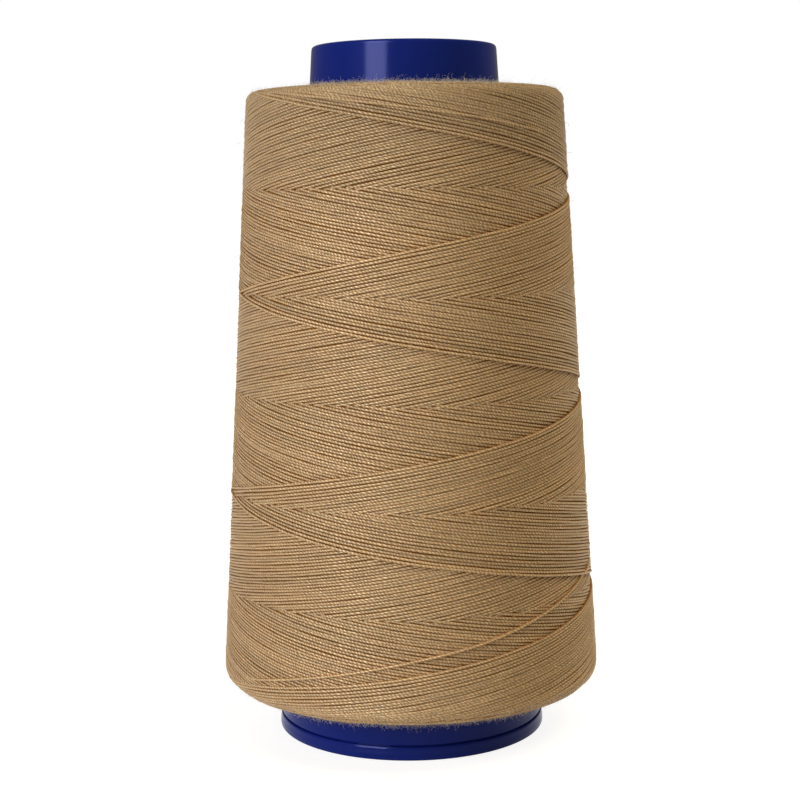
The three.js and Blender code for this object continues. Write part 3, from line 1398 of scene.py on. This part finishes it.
@dataclass
class Winding:
    """The outermost turns, strand by strand, in both strokes.

    Gaps between turns are against the mean one. A wave is its height in millimetres and the millimetres that
    it runs on for each radian, and the third wave is the one that neighbours share. The first strands behind
    a front lie proud by the front lifts.
    """

    law: WindingLaw
    sweep: StrandSweep
    turns: int = 66
    step: float = 2.6
    mean_radius: float = 43.0
    sunk: float = 0.35
    lowest_rise: float = 10.0
    highest_rise: float = 160.6
    overrun: float = 2.0
    turn_back: float = 3.0
    front_gaps: tuple[float, ...] = (1.1, 1.07, 1.06, 1.06, 1.04)
    gap_range: tuple[float, float] = (0.95, 1.05)
    wide_gap_range: tuple[float, float] = (1.02, 1.08)
    waves: tuple[tuple[float, float], ...] = ((0.035, 1.1), (0.03, 0.45), (0.10, 7.0), (0.04, 2.3))
    wave_lag: float = 0.35
    wobble: tuple[float, float] = (0.02, 0.8)
    cover_range: tuple[float, float] = (-0.016, 0.016)
    lift_spread: float = 0.035
    tone_wave: tuple[float, float] = (0.12, 3.1)
    front_tone: float = 0.85
    front_lifts: tuple[float, ...] = (0.10, 0.06)
    shortest_run: int = 2
    short_run_age: float = 0.85
    front_tuck: int = 4
    row_tuck: int = 2
    dive: float = 0.26
    end_thinning: float = 0.14
    stray_dive: float = 0.62
    seed: int = 7
    strays: tuple[Stray, ...] = (
        Stray(
            Stroke.UP,
            0.14,
            0.95,
            ((-58, 18.2), (-20, 24.5), (0, 28), (20, 31), (40, 35), (60, 39.5), (84, 45.5)),
        ),
        Stray(Stroke.UP, 0.0, 0.7, ((150, 60), (190, 67.5), (240, 76.0))),
        Stray(Stroke.DOWN, 0.0, 0.8, ((-60, 158.6), (-20, 155.3), (20, 151.6), (60, 147.4))),
        Stray(Stroke.DOWN, 0.0, 0.7, ((120, 118), (160, 111.0), (200, 104.8))),
    )

    def shifts(self, rng: np.random.Generator) -> np.ndarray:
        """How far each strand lies behind its front, in degrees.

        Args:
            rng: the source of the unevenness.

        Returns:
            One angle for each strand, from 0.
        """
        gaps = rng.uniform(*self.gap_range, self.turns)
        k = len(self.front_gaps)
        gaps[:k] = self.front_gaps
        while k < self.turns:
            gaps[k] *= rng.uniform(*self.wide_gap_range)
            k += int(rng.integers(3, 8))
        places = np.concatenate([[0.0], np.cumsum(gaps)])
        return places[:-1] / places[-1] * 360.0

    def rise_of(self, nominal: np.ndarray) -> np.ndarray:
        """Bends a stroke's even climb so that it turns back softly at the package's ends.

        Args:
            nominal: rises on an even climb.

        Returns:
            The rises on the bent one.
        """
        over = nominal - self.highest_rise
        high = 0.5 * (nominal + self.highest_rise - np.sqrt(over**2 + self.turn_back**2))
        under = high - self.lowest_rise
        return 0.5 * (high + self.lowest_rise + np.sqrt(under**2 + self.turn_back**2))

    def waver(self, nominal: np.ndarray, number: int, phase: np.ndarray, shared: float) -> np.ndarray:
        """Finds how a strand wavers: in waves of its own, and in a long one that its neighbours follow.

        Args:
            nominal: rises on an even climb.
            number: the strand's number.
            phase: three phases of its own.
            shared: the phase of the long wave.

        Returns:
            What its rise changes by at each of them, in millimetres.
        """
        starts = (phase[0], phase[1], shared, phase[2] * 2)
        lags = (0.0, 0.0, number * self.wave_lag, 0.0)
        waves = zip(self.waves, starts, lags)
        return sum(height * np.sin(nominal / run + start + lag) for (height, run), start, lag in waves)

    def stroke_strands(self, stroke: Stroke) -> dict[Layer, list[Strand]]:
        """Finds the visible part of every strand of one stroke.

        Args:
            stroke: up or down.

        Returns:
            Strands, layer by layer.
        """
        law = self.law
        other = Stroke.DOWN if stroke is Stroke.UP else Stroke.UP
        rng = np.random.default_rng(self.seed + stroke.value)
        shifts = self.shifts(rng)
        strands: dict[Layer, list[Strand]] = {layer: [] for layer in Layer}
        climb = law.row_spacing / 180.0 * math.degrees(self.step / self.mean_radius)
        nominal = np.arange(self.lowest_rise - self.overrun, self.highest_rise + self.overrun, climb)
        shared = rng.uniform(0, TURN, 3)
        for k, shift in enumerate(shifts):
            own_age = shift / 360.0
            phase = rng.uniform(0, TURN, 3)
            rise = self.rise_of(nominal) + self.waver(nominal, k, phase, shared[0])
            angle = law.front(stroke, nominal) + shift
            other_age = law.age(other, angle, nominal)
            seen = own_age + rng.uniform(*self.cover_range) < other_age
            below, above = nominal < law.first_row, nominal > law.last_row
            seen = np.where(below, stroke is Stroke.UP, np.where(above, stroke is Stroke.DOWN, seen))
            tone = random_tone(rng)
            lift = float(rng.normal(0.0, self.lift_spread))
            girth = random_girth(rng)
            if k < len(self.front_lifts):
                tone, lift = self.front_tone, lift + self.front_lifts[k]
            relief = law.relief(angle, nominal)
            for first, last in runs_of(seen):
                if last - first < self.shortest_run and own_age < self.short_run_age:
                    continue
                start_tuck = self.tuck_of(other_age, first, -1)
                end_tuck = self.tuck_of(other_age, last, 1)
                index = np.arange(max(first - start_tuck, 0), min(last + end_tuck, len(nominal) - 1) + 1)
                held = relief[np.clip(index, first, last)]
                past = np.maximum(first - index, index - last).clip(0)
                sink = self.dive * np.minimum(past, 2.0)
                proud = held + lift - self.sunk - sink
                wobble = self.wobble[0] * np.sin(index * self.wobble[1] + phase[2])
                points = law.place(angle[index], rise[index], proud + wobble)
                shade = tone + self.tone_wave[0] * np.sin(nominal[index] / self.tone_wave[1] + phase[1])
                inside = (first < index) & (index < last)
                thin = np.where(inside, 1.0, 1 - self.end_thinning)
                outward = law.outward(angle[index], rise[index])
                strand = Strand(points, outward, np.clip(shade, 0.0, 1.0), girth * thin)
                strands[Layer.of(own_age)].append(strand)
        return strands

    def tuck_of(self, other_age: np.ndarray, index: int, way: int) -> int:
        """Finds how many steps a strand runs on under its cover: more where it goes under a front.

        Args:
            other_age: the age of the other stroke at each of the strand's points.
            index: the last point that shows.
            way: 1 towards the strand's end and -1 towards its start.

        Returns:
            The number of steps.
        """
        beyond = int(np.clip(index + way, 0, len(other_age) - 1))
        goes_under_front = abs(other_age[beyond] - other_age[index]) > 0.5
        return self.front_tuck if goes_under_front else self.row_tuck

    def stray_strand(self, stray: Stray) -> Strand:
        """Lays a stray strand over the winding.

        Args:
            stray: where it runs.

        Returns:
            The strand, with both ends tucked in.
        """
        angles, rises = np.array(stray.path, float).T
        angle = np.arange(angles[0], angles[-1], math.degrees(self.step / self.mean_radius))
        rise = np.interp(angle, angles, rises)
        padded = np.concatenate([[rise[0]] * 2, rise, [rise[-1]] * 2])
        rise = np.convolve(padded, np.ones(5) / 5, "valid")
        sink = self.stray_dive * (1 - smooth(steps_to_end(len(angle)), 0.0, 3.0))
        proud = self.law.relief(angle, rise) + stray.proud - sink
        return Strand(self.law.place(angle, rise, proud), self.law.outward(angle, rise), stray.tone)

    def build(self, finish: bpy.types.Material) -> list[bpy.types.Object]:
        """Builds the strands.

        Args:
            finish: the thread's material.

        Returns:
            One piece for each stroke and layer.
        """
        made = []
        for stroke in Stroke:
            for layer, strands in self.stroke_strands(stroke).items():
                if layer is Layer.FRESH:
                    strands += [self.stray_strand(stray) for stray in self.strays if stray.stroke is stroke]
                name = f"thread_{stroke.name.lower()}_{layer.name.lower()}"
                made.append(self.sweep.sweep(name, strands, finish))
        return made


def random_tone(rng: np.random.Generator) -> float:
    """A strand's brightness: about 0.5, and never quite 0 or 1."""
    return float(np.clip(rng.normal(0.5, 0.2), 0.05, 0.95))


def random_girth(rng: np.random.Generator) -> float:
    """A strand's girth against the usual one."""
    return float(rng.uniform(0.95, 1.04))


def runs_of(flags: np.ndarray) -> list[tuple[int, int]]:
    """The first and last index of each run of true flags."""
    edges = np.flatnonzero(np.diff(np.concatenate([[0], flags.astype(int), [0]])))
    return list(zip(edges[::2].tolist(), (edges[1::2] - 1).tolist()))


@dataclass(frozen=True)
class PackageEnd:
    """One flat end of the package: its height, its turns' smallest and largest radius, and which way it
    faces, 1 for up and -1 for down."""

    name: str
    height: float
    inner: float
    outer: float
    up: int


@dataclass
class EndCoils:
    """The turns that show on the package's two flat ends, where each stroke turns back.

    Ranges of overlap and span are radians. A wave is its height in millimetres and how often it comes in a
    turn. How proud a strand is, is how far its middle line stands off the flat end.
    """

    law: WindingLaw
    core: Core
    sweep: StrandSweep
    pitch: float = 0.74
    pitch_range: tuple[float, float] = (0.92, 1.12)
    step: float = 2.2
    core_gap: float = 0.75
    top_overlap: float = 0.9
    bottom_overlap: float = 1.4
    turn_proud: float = -0.42
    turn_overlap: tuple[float, float] = (0.3, 0.8)
    turn_widening: tuple[float, float] = (-0.1, 0.25)
    arcs: int = 46
    arc_span: tuple[float, float] = (0.6, 1.9)
    arc_widening: float = 2.2
    arc_proud: tuple[float, float] = (-0.38, -0.22)
    radius_waves: tuple[tuple[float, int], ...] = ((0.12, 3), (0.05, 11))
    level_wave: tuple[float, int] = (0.04, 5)
    end_dive: float = 0.55
    seed: int = 23

    def build(self, finish: bpy.types.Material) -> list[bpy.types.Object]:
        """Builds the coils of the top and of the bottom.

        Args:
            finish: the thread's material.

        Returns:
            A piece for each end.
        """
        package, inner = self.law.package, self.core.outer
        top_outer = package.top_flat + self.top_overlap
        bottom_outer = package.bottom_flat + self.bottom_overlap
        ends = (
            PackageEnd("thread_top_end", package.top, inner(package.top) + self.core_gap, top_outer, 1),
            PackageEnd(
                "thread_bottom_end", package.bottom, inner(package.bottom) + self.core_gap, bottom_outer, -1
            ),
        )
        return [self.coil(end, finish) for end in ends]

    def coil(self, end: PackageEnd, finish: bpy.types.Material) -> bpy.types.Object:
        """Builds one end: near-round turns, and arcs that cross them at a small angle.

        Args:
            end: the end.
            finish: the thread's material.

        Returns:
            The piece.
        """
        rng = np.random.default_rng(self.seed + end.up)
        strands = []
        radius = end.inner
        while radius <= end.outer:
            span = TURN + rng.uniform(*self.turn_overlap)
            start = rng.uniform(0, TURN)
            radii = (radius, radius + rng.uniform(*self.turn_widening))
            strands.append(self.bend(rng, end, (start, span), radii, self.turn_proud))
            radius += self.pitch * rng.uniform(*self.pitch_range)
        for _ in range(self.arcs):
            first = rng.uniform(end.inner + 0.4, end.outer - 0.2)
            last = float(np.clip(first + rng.normal(0, self.arc_widening), end.inner + 0.2, end.outer))
            turn = (rng.uniform(0, TURN), rng.uniform(*self.arc_span))
            strands.append(self.bend(rng, end, turn, (first, last), rng.uniform(*self.arc_proud)))
        return self.sweep.sweep(end.name, strands, finish)

    def bend(
        self,
        rng: np.random.Generator,
        end: PackageEnd,
        turn: tuple[float, float],
        radii: tuple[float, float],
        proud: float,
    ) -> Strand:
        """Bends one arc of thread on an end.

        Args:
            rng: the source of its waviness.
            end: the end that it lies on.
            turn: its first angle and how far it goes round, in radians.
            radii: its first and last radius.
            proud: how far its middle line stands off the end.

        Returns:
            The strand.
        """
        (start, span), (first, last) = turn, radii
        count = max(int(span * max(radii) / self.step), 6)
        part = np.linspace(0, 1, count)
        angle = start + span * part
        phase = rng.uniform(0, TURN, 2)
        radius = first + (last - first) * smooth(part, 0.0, 1.0)
        for (height, count_round), wave_start in zip(self.radius_waves, phase):
            radius = radius + height * np.sin(angle * count_round + wave_start)
        dive = self.end_dive * (1 - smooth(steps_to_end(count), 0.0, 3.0))
        uneven = self.level_wave[0] * np.sin(angle * self.level_wave[1] + phase[1])
        level = end.height + end.up * (proud - dive + uneven)
        points = np.stack([radius * np.cos(angle), radius * np.sin(angle), level], 1)
        return Strand(points, np.array([0.0, 0.0, float(end.up)]), random_tone(rng), random_girth(rng))


class Growth(Enum):
    """Where loose fibres stand on the package."""

    ALL_OVER = "all over"
    TOP_EDGE = "top edge"
    BOTTOM_EDGE = "bottom edge"


@dataclass(frozen=True)
class FibreKind:
    """Loose fibres of one length: how many grow on a square millimetre, and how far they lean over."""

    name: str
    growth: Growth
    density: float
    length: float
    thickness: float
    lean: float


@dataclass
class Fuzz:
    """Loose fibre ends that stand off the thread, grown with Geometry Nodes from a surface at its crests.

    An edge's band is four rises from its rim: where fibres start, stand thickest, thin out and end. Fibres
    are rubbed away where the sine of the angle round the spool is large, at its two sides.
    """

    law: WindingLaw
    core: Core
    seed: int = 31
    segments: int = 120
    rooted: float = 0.08
    rubbed: float = 0.9
    rubbed_from: float = 0.5
    rubbed_full: float = 0.7
    top_band: tuple[float, ...] = (-2.6, -0.8, 0.1, 1.0)
    bottom_band: tuple[float, ...] = (-1.0, -0.1, 1.4, 3.6)
    rings: tuple[int, ...] = (16, 10, 80, 8, 16)
    top_margin: float = 0.5
    bottom_margin: float = 0.8
    kinds: tuple[FibreKind, ...] = (
        FibreKind("fibre_nap", Growth.ALL_OVER, 0.205, 0.52, 0.028, 0.75),
        FibreKind("fibre_top_edge", Growth.TOP_EDGE, 13.0, 1.1, 0.017, 0.6),
        FibreKind("fibre_bottom_edge", Growth.BOTTOM_EDGE, 5.5, 1.4, 0.018, 0.7),
        FibreKind("fibre_long_top", Growth.TOP_EDGE, 1.4, 2.2, 0.016, 0.5),
        FibreKind("fibre_long_bottom", Growth.BOTTOM_EDGE, 0.9, 2.3, 0.016, 0.5),
        FibreKind("fibre_long", Growth.ALL_OVER, 0.01, 2.4, 0.028, 0.6),
    )

    def coverage(self, growth: Growth, angle: np.ndarray, rise: np.ndarray) -> np.ndarray:
        """Finds how thickly fibres grow: those at the edges are rubbed thin at two sides.

        Args:
            growth: where they grow.
            angle: degrees to the right of the front.
            rise: places on the side.

        Returns:
            From 0 to 1 for each place.
        """
        if growth is Growth.ALL_OVER:
            return np.ones_like(rise)
        top = growth is Growth.TOP_EDGE
        rim = self.law.package.top_rim if top else self.law.package.bottom_rim
        band = self.top_band if top else self.bottom_band
        starts, full, thins, ends = (rim + limit for limit in band)
        sideways = np.abs(np.sin(np.radians(angle)))
        kept = 1 - self.rubbed * smooth(sideways, self.rubbed_from, self.rubbed_full)
        return kept * smooth(rise, starts, full) * (1 - smooth(rise, thins, ends))

    def emitter(self, name: str, growth: Growth) -> bpy.types.Object:
        """Makes the surface that fibres grow on, with an attribute for how thickly they grow.

        Args:
            name: the surface's name.
            growth: where they grow.

        Returns:
            The surface.
        """
        package = self.law.package
        top, bottom = package.top_rim, package.bottom_rim
        last = top + (package.top_flat - self.core.outer(package.top) - self.top_margin)
        first = bottom - (package.bottom_flat - self.core.outer(package.bottom)) + self.bottom_margin
        rises = through((first, bottom, package.side_start, package.side_end, top, last), self.rings)
        points, angle, rise = self.law.surface(rises, self.segments, self.rooted)
        mesh = mesh_of(name, points.reshape(-1, 3), ring_faces(len(rises), self.segments, closed=False))
        set_attribute(mesh, "nap", "FLOAT", self.coverage(growth, angle.ravel(), rise.ravel()))
        return make_object(name, mesh)

    def make_tree(self) -> bpy.types.NodeTree:
        """Builds the tree that scatters fibres.

        Returns:
            The tree.
        """
        inputs = {
            "Surface": "Geometry",
            "Density": "Float",
            "Length": "Float",
            "Thickness": "Float",
            "Lean": "Float",
            "Seed": "Int",
            "Finish": "Material",
        }
        tree = new_group("fibre_scatter", inputs, "Fibres")
        given = add_node(tree, "NodeGroupInput").outputs
        nap = add_node(tree, NAMED, {"Name": "nap"}, data_type="FLOAT")
        density = add_node(tree, MATHS, {0: given["Density"], 1: nap}, operation="MULTIPLY")
        spread = add_node(
            tree,
            "GeometryNodeDistributePointsOnFaces",
            {"Mesh": given["Surface"], "Density": density, "Seed": given["Seed"]},
        )

        # A fibre one unit long rises from just under the surface and leans over towards its tip.
        height = add_node(tree, MATHS, {0: given["Lean"], 1: -0.5, 2: 1.0}, operation="MULTIPLY_ADD")
        tip = add_node(tree, "ShaderNodeCombineXYZ", {0: given["Lean"], 2: height})
        arch = add_node(
            tree,
            "GeometryNodeCurveQuadraticBezier",
            {"Resolution": 1, "Start": (0.0, 0.0, -0.1), "Middle": (0.05, 0.12, 0.65), "End": tip},
        )
        size = add_node(
            tree, "ShaderNodeVectorMath", {0: (1.0, 1.0, 1.0), "Scale": given["Length"]}, operation="SCALE"
        )
        hair = add_node(tree, "GeometryNodeTransform", {"Geometry": arch, "Scale": size})
        ring = add_node(
            tree, "GeometryNodeCurvePrimitiveCircle", {"Resolution": 3, "Radius": given["Thickness"]}
        )
        fibre = add_node(
            tree, "GeometryNodeCurveToMesh", {"Curve": hair, "Profile Curve": ring, "Fill Caps": True}
        )
        spin, stretch = (
            add_node(
                tree,
                "FunctionNodeRandomValue",
                {"Min": low, "Max": high, "Seed": given["Seed"]},
                data_type="FLOAT_VECTOR",
            )
            for low, high in (
                ((-0.55, -0.55, 0.0), (0.55, 0.55, TURN)),
                ((0.25, 0.25, 0.2), (1.25, 1.25, 1.15)),
            )
        )
        turned = add_node(
            tree,
            "FunctionNodeRotateRotation",
            {
                "Rotation": spread.outputs["Rotation"],
                "Rotate By": add_node(tree, "FunctionNodeEulerToRotation", {0: spin}),
            },
            rotation_space="LOCAL",
        )
        grown = add_node(
            tree,
            "GeometryNodeInstanceOnPoints",
            {"Points": spread, "Instance": fibre, "Rotation": turned, "Scale": stretch},
        )
        real = add_node(tree, "GeometryNodeRealizeInstances", {"Geometry": grown})
        dressed = add_node(tree, "GeometryNodeSetMaterial", {"Geometry": real, "Material": given["Finish"]})
        add_node(tree, "NodeGroupOutput", {0: dressed})
        return tree

    def build(self) -> list[bpy.types.Object]:
        """Builds the short nap, the tufts of both edges and the few long fibres.

        Returns:
            One piece for each kind.
        """
        tree = self.make_tree()
        dyed = LooseFibre("dyed_loose_fibre", pale="#e2c59c", deep="#c8a577").build()
        # The edge fibres are nearly white, painted light; the nap takes the thread's own tan.
        painted_light_fibre = LooseFibre().build()
        made = []
        for number, kind in enumerate(self.kinds):
            values = {
                "Density": kind.density / MM**2,
                "Length": kind.length * MM,
                "Thickness": kind.thickness * MM,
                "Lean": kind.lean,
                "Seed": self.seed + number,
                "Finish": dyed if kind.growth is Growth.ALL_OVER else painted_light_fibre,
            }
            mesh = run_nodes(self.emitter(f"{kind.name}_ground", kind.growth), tree, values)
            mesh.name = kind.name
            made.append(make_object(kind.name, mesh))
        return made


# ---- Studio ------------------------------------------------------------------------------------------


class Glow(Enum):
    """What a lamp shows in: the light that surfaces scatter, or their gloss."""

    DIFFUSE = "diffuse"
    GLOSS = "gloss"


@dataclass(frozen=True)
class Softbox:
    """A soft rectangular lamp that faces the spool. Its sizes are metres, and its azimuth is degrees to the
    right of the front."""

    name: str
    azimuth: float
    distance: float
    width: float
    tall: float
    centre_height: float
    radiance: float
    tint: tuple[float, float, float] = (1.0, 1.0, 1.0)
    shown_by: Glow = Glow.DIFFUSE

    def build(self, aim: Vector) -> None:
        """Hangs the lamp.

        Args:
            aim: the point that it faces.
        """
        data = bpy.data.lights.new(self.name, "AREA")
        data.shape = "RECTANGLE"
        data.size, data.size_y = self.width, self.tall
        data.energy = self.radiance * self.width * self.tall * math.pi
        data.color = self.tint
        lamp = bpy.data.objects.new(self.name, data)
        a = math.radians(self.azimuth)
        lamp.location = (self.distance * math.sin(a), -self.distance * math.cos(a), self.centre_height)
        lamp.rotation_euler = (aim - Vector(lamp.location)).to_track_quat("-Z", "Y").to_euler()
        lamp.visible_camera = False
        lamp.visible_glossy = self.shown_by is Glow.GLOSS
        lamp.visible_diffuse = self.shown_by is Glow.DIFFUSE
        bpy.context.scene.collection.objects.link(lamp)


@dataclass
class Studio:
    """Pale floor, soft lamps, white surroundings and the camera."""

    middle: Vector
    ambient: float = 0.185
    ambient_tint: tuple[float, float, float] = (1.0, 0.83, 0.5)
    mirrored: float = 0.22
    mirrored_tint: tuple[float, float, float] = (1.0, 0.86, 0.54)
    backdrop: float = 1.0
    floor_size: float = 40.0
    lens: float = 74.9
    sensor: float = 36.0
    camera_place: tuple[float, float, float] = (-0.0020, -0.4161, 0.1353)
    look_down: float = 7.228
    roll: float = -0.714
    lamps: tuple[Softbox, ...] = (
        Softbox("strip_softbox", -34.5, 1.2, 0.57, 1.15, 0.52, 11.0, shown_by=Glow.GLOSS),
        Softbox("key_softbox", -54.0, 1.25, 0.57, 0.85, 0.38, 5.15, (1.0, 0.99, 0.96)),
        Softbox("fill_softbox", 125.0, 1.4, 1.0, 1.2, 0.75, 1.75, (1.0, 1.0, 0.84)),
        Softbox("top_softbox", 55.0, 0.55, 0.8, 0.8, 1.35, 3.5, (1.0, 0.88, 0.58)),
        Softbox("rear_softbox", 200.0, 1.5, 1.2, 1.4, 0.7, 1.2),
        Softbox("glint_softbox", -42.0, 0.95, 0.5, 0.6, 0.9, 7.5, shown_by=Glow.GLOSS),
    )

    def build(self) -> None:
        """Builds the studio round the spool."""
        self.build_floor()
        self.build_surroundings()
        for lamp in self.lamps:
            lamp.build(self.middle)
        self.build_camera()
        bpy.context.scene.view_settings.view_transform = "Standard"
        bpy.context.scene.view_settings.look = "None"

    def build_floor(self) -> None:
        """Lays a wide floor under the spool."""
        half = self.floor_size / 2 / MM
        points = np.array([[-half, -half, 0], [half, -half, 0], [half, half, 0], [-half, half, 0]], float)
        floor = make_object("studio_floor", mesh_of("studio_floor", points, [[0, 1, 2, 3]]))
        floor.data.materials.append(PaperFloor().build())

    def build_surroundings(self) -> None:
        """Makes surroundings that are white to look at, and light the spool softly and a little warmly."""
        world = bpy.data.worlds.new("white_studio")
        bpy.context.scene.world = world
        world.use_nodes = True
        tree = world.node_tree
        tree.nodes.clear()
        seen, lit, gloss = (
            add_node(tree, "ShaderNodeBackground", {"Color": (*tint, 1.0), "Strength": strength})
            for tint, strength in (
                ((1.0, 1.0, 1.0), self.backdrop),
                (self.ambient_tint, self.ambient),
                (self.mirrored_tint, self.mirrored),
            )
        )
        ray = add_node(tree, "ShaderNodeLightPath").outputs
        unseen = add_node(tree, "ShaderNodeMixShader", {0: ray["Is Glossy Ray"], 1: lit, 2: gloss})
        mixed = add_node(tree, "ShaderNodeMixShader", {0: ray["Is Camera Ray"], 1: unseen, 2: seen})
        add_node(tree, "ShaderNodeOutputWorld", {"Surface": mixed})

    def build_camera(self) -> None:
        """Sets the camera a little above the spool's middle, looking slightly down."""
        data = bpy.data.cameras.new("studio_camera")
        data.lens, data.sensor_width = self.lens, self.sensor
        camera = bpy.data.objects.new("studio_camera", data)
        level = Matrix.Rotation(math.radians(90.0 - self.look_down), 4, "X")
        rolled = Matrix.Rotation(math.radians(self.roll), 4, "Z")
        camera.matrix_world = Matrix.Translation(self.camera_place) @ level @ rolled
        bpy.context.scene.collection.objects.link(camera)
        bpy.context.scene.camera = camera


# ---- The whole ---------------------------------------------------------------------------------------


def report(made: bpy.types.Object) -> None:
    """Logs a piece's name and how many triangles it has."""
    made.data.calc_loop_triangles()
    LOG.info("%s: %d triangles", made.name, len(made.data.loop_triangles))


def main() -> None:
    """Builds the studio and the spool, piece by piece."""
    logging.basicConfig(level=logging.INFO, format="%(name)s %(message)s")
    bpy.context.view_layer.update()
    core_high, thread_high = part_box("core")[1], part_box("thread")[1]
    Studio(Vector((0.0, 0.0, in_mm(core_high.z) / 2 * MM))).build()

    law = WindingLaw(PackageShape(top=in_mm(thread_high.z)))
    core = Core(height=in_mm(core_high.z), lip_radius=in_mm(core_high.x))
    moulding = core.build()
    core.dress(moulding)
    report(moulding)

    body = PackageBody(law, core)
    mass = body.build()
    body.dress(mass)
    report(mass)

    thread = SpunThread().build()
    sweep = StrandSweep()
    for made in [*Winding(law, sweep).build(thread), *EndCoils(law, core, sweep).build(thread)]:
        seat_thread(made)
        report(made)
    for made in Fuzz(law, core).build():
        seat_thread(made)
        report(made)


if __name__ == "__main__":
    main()
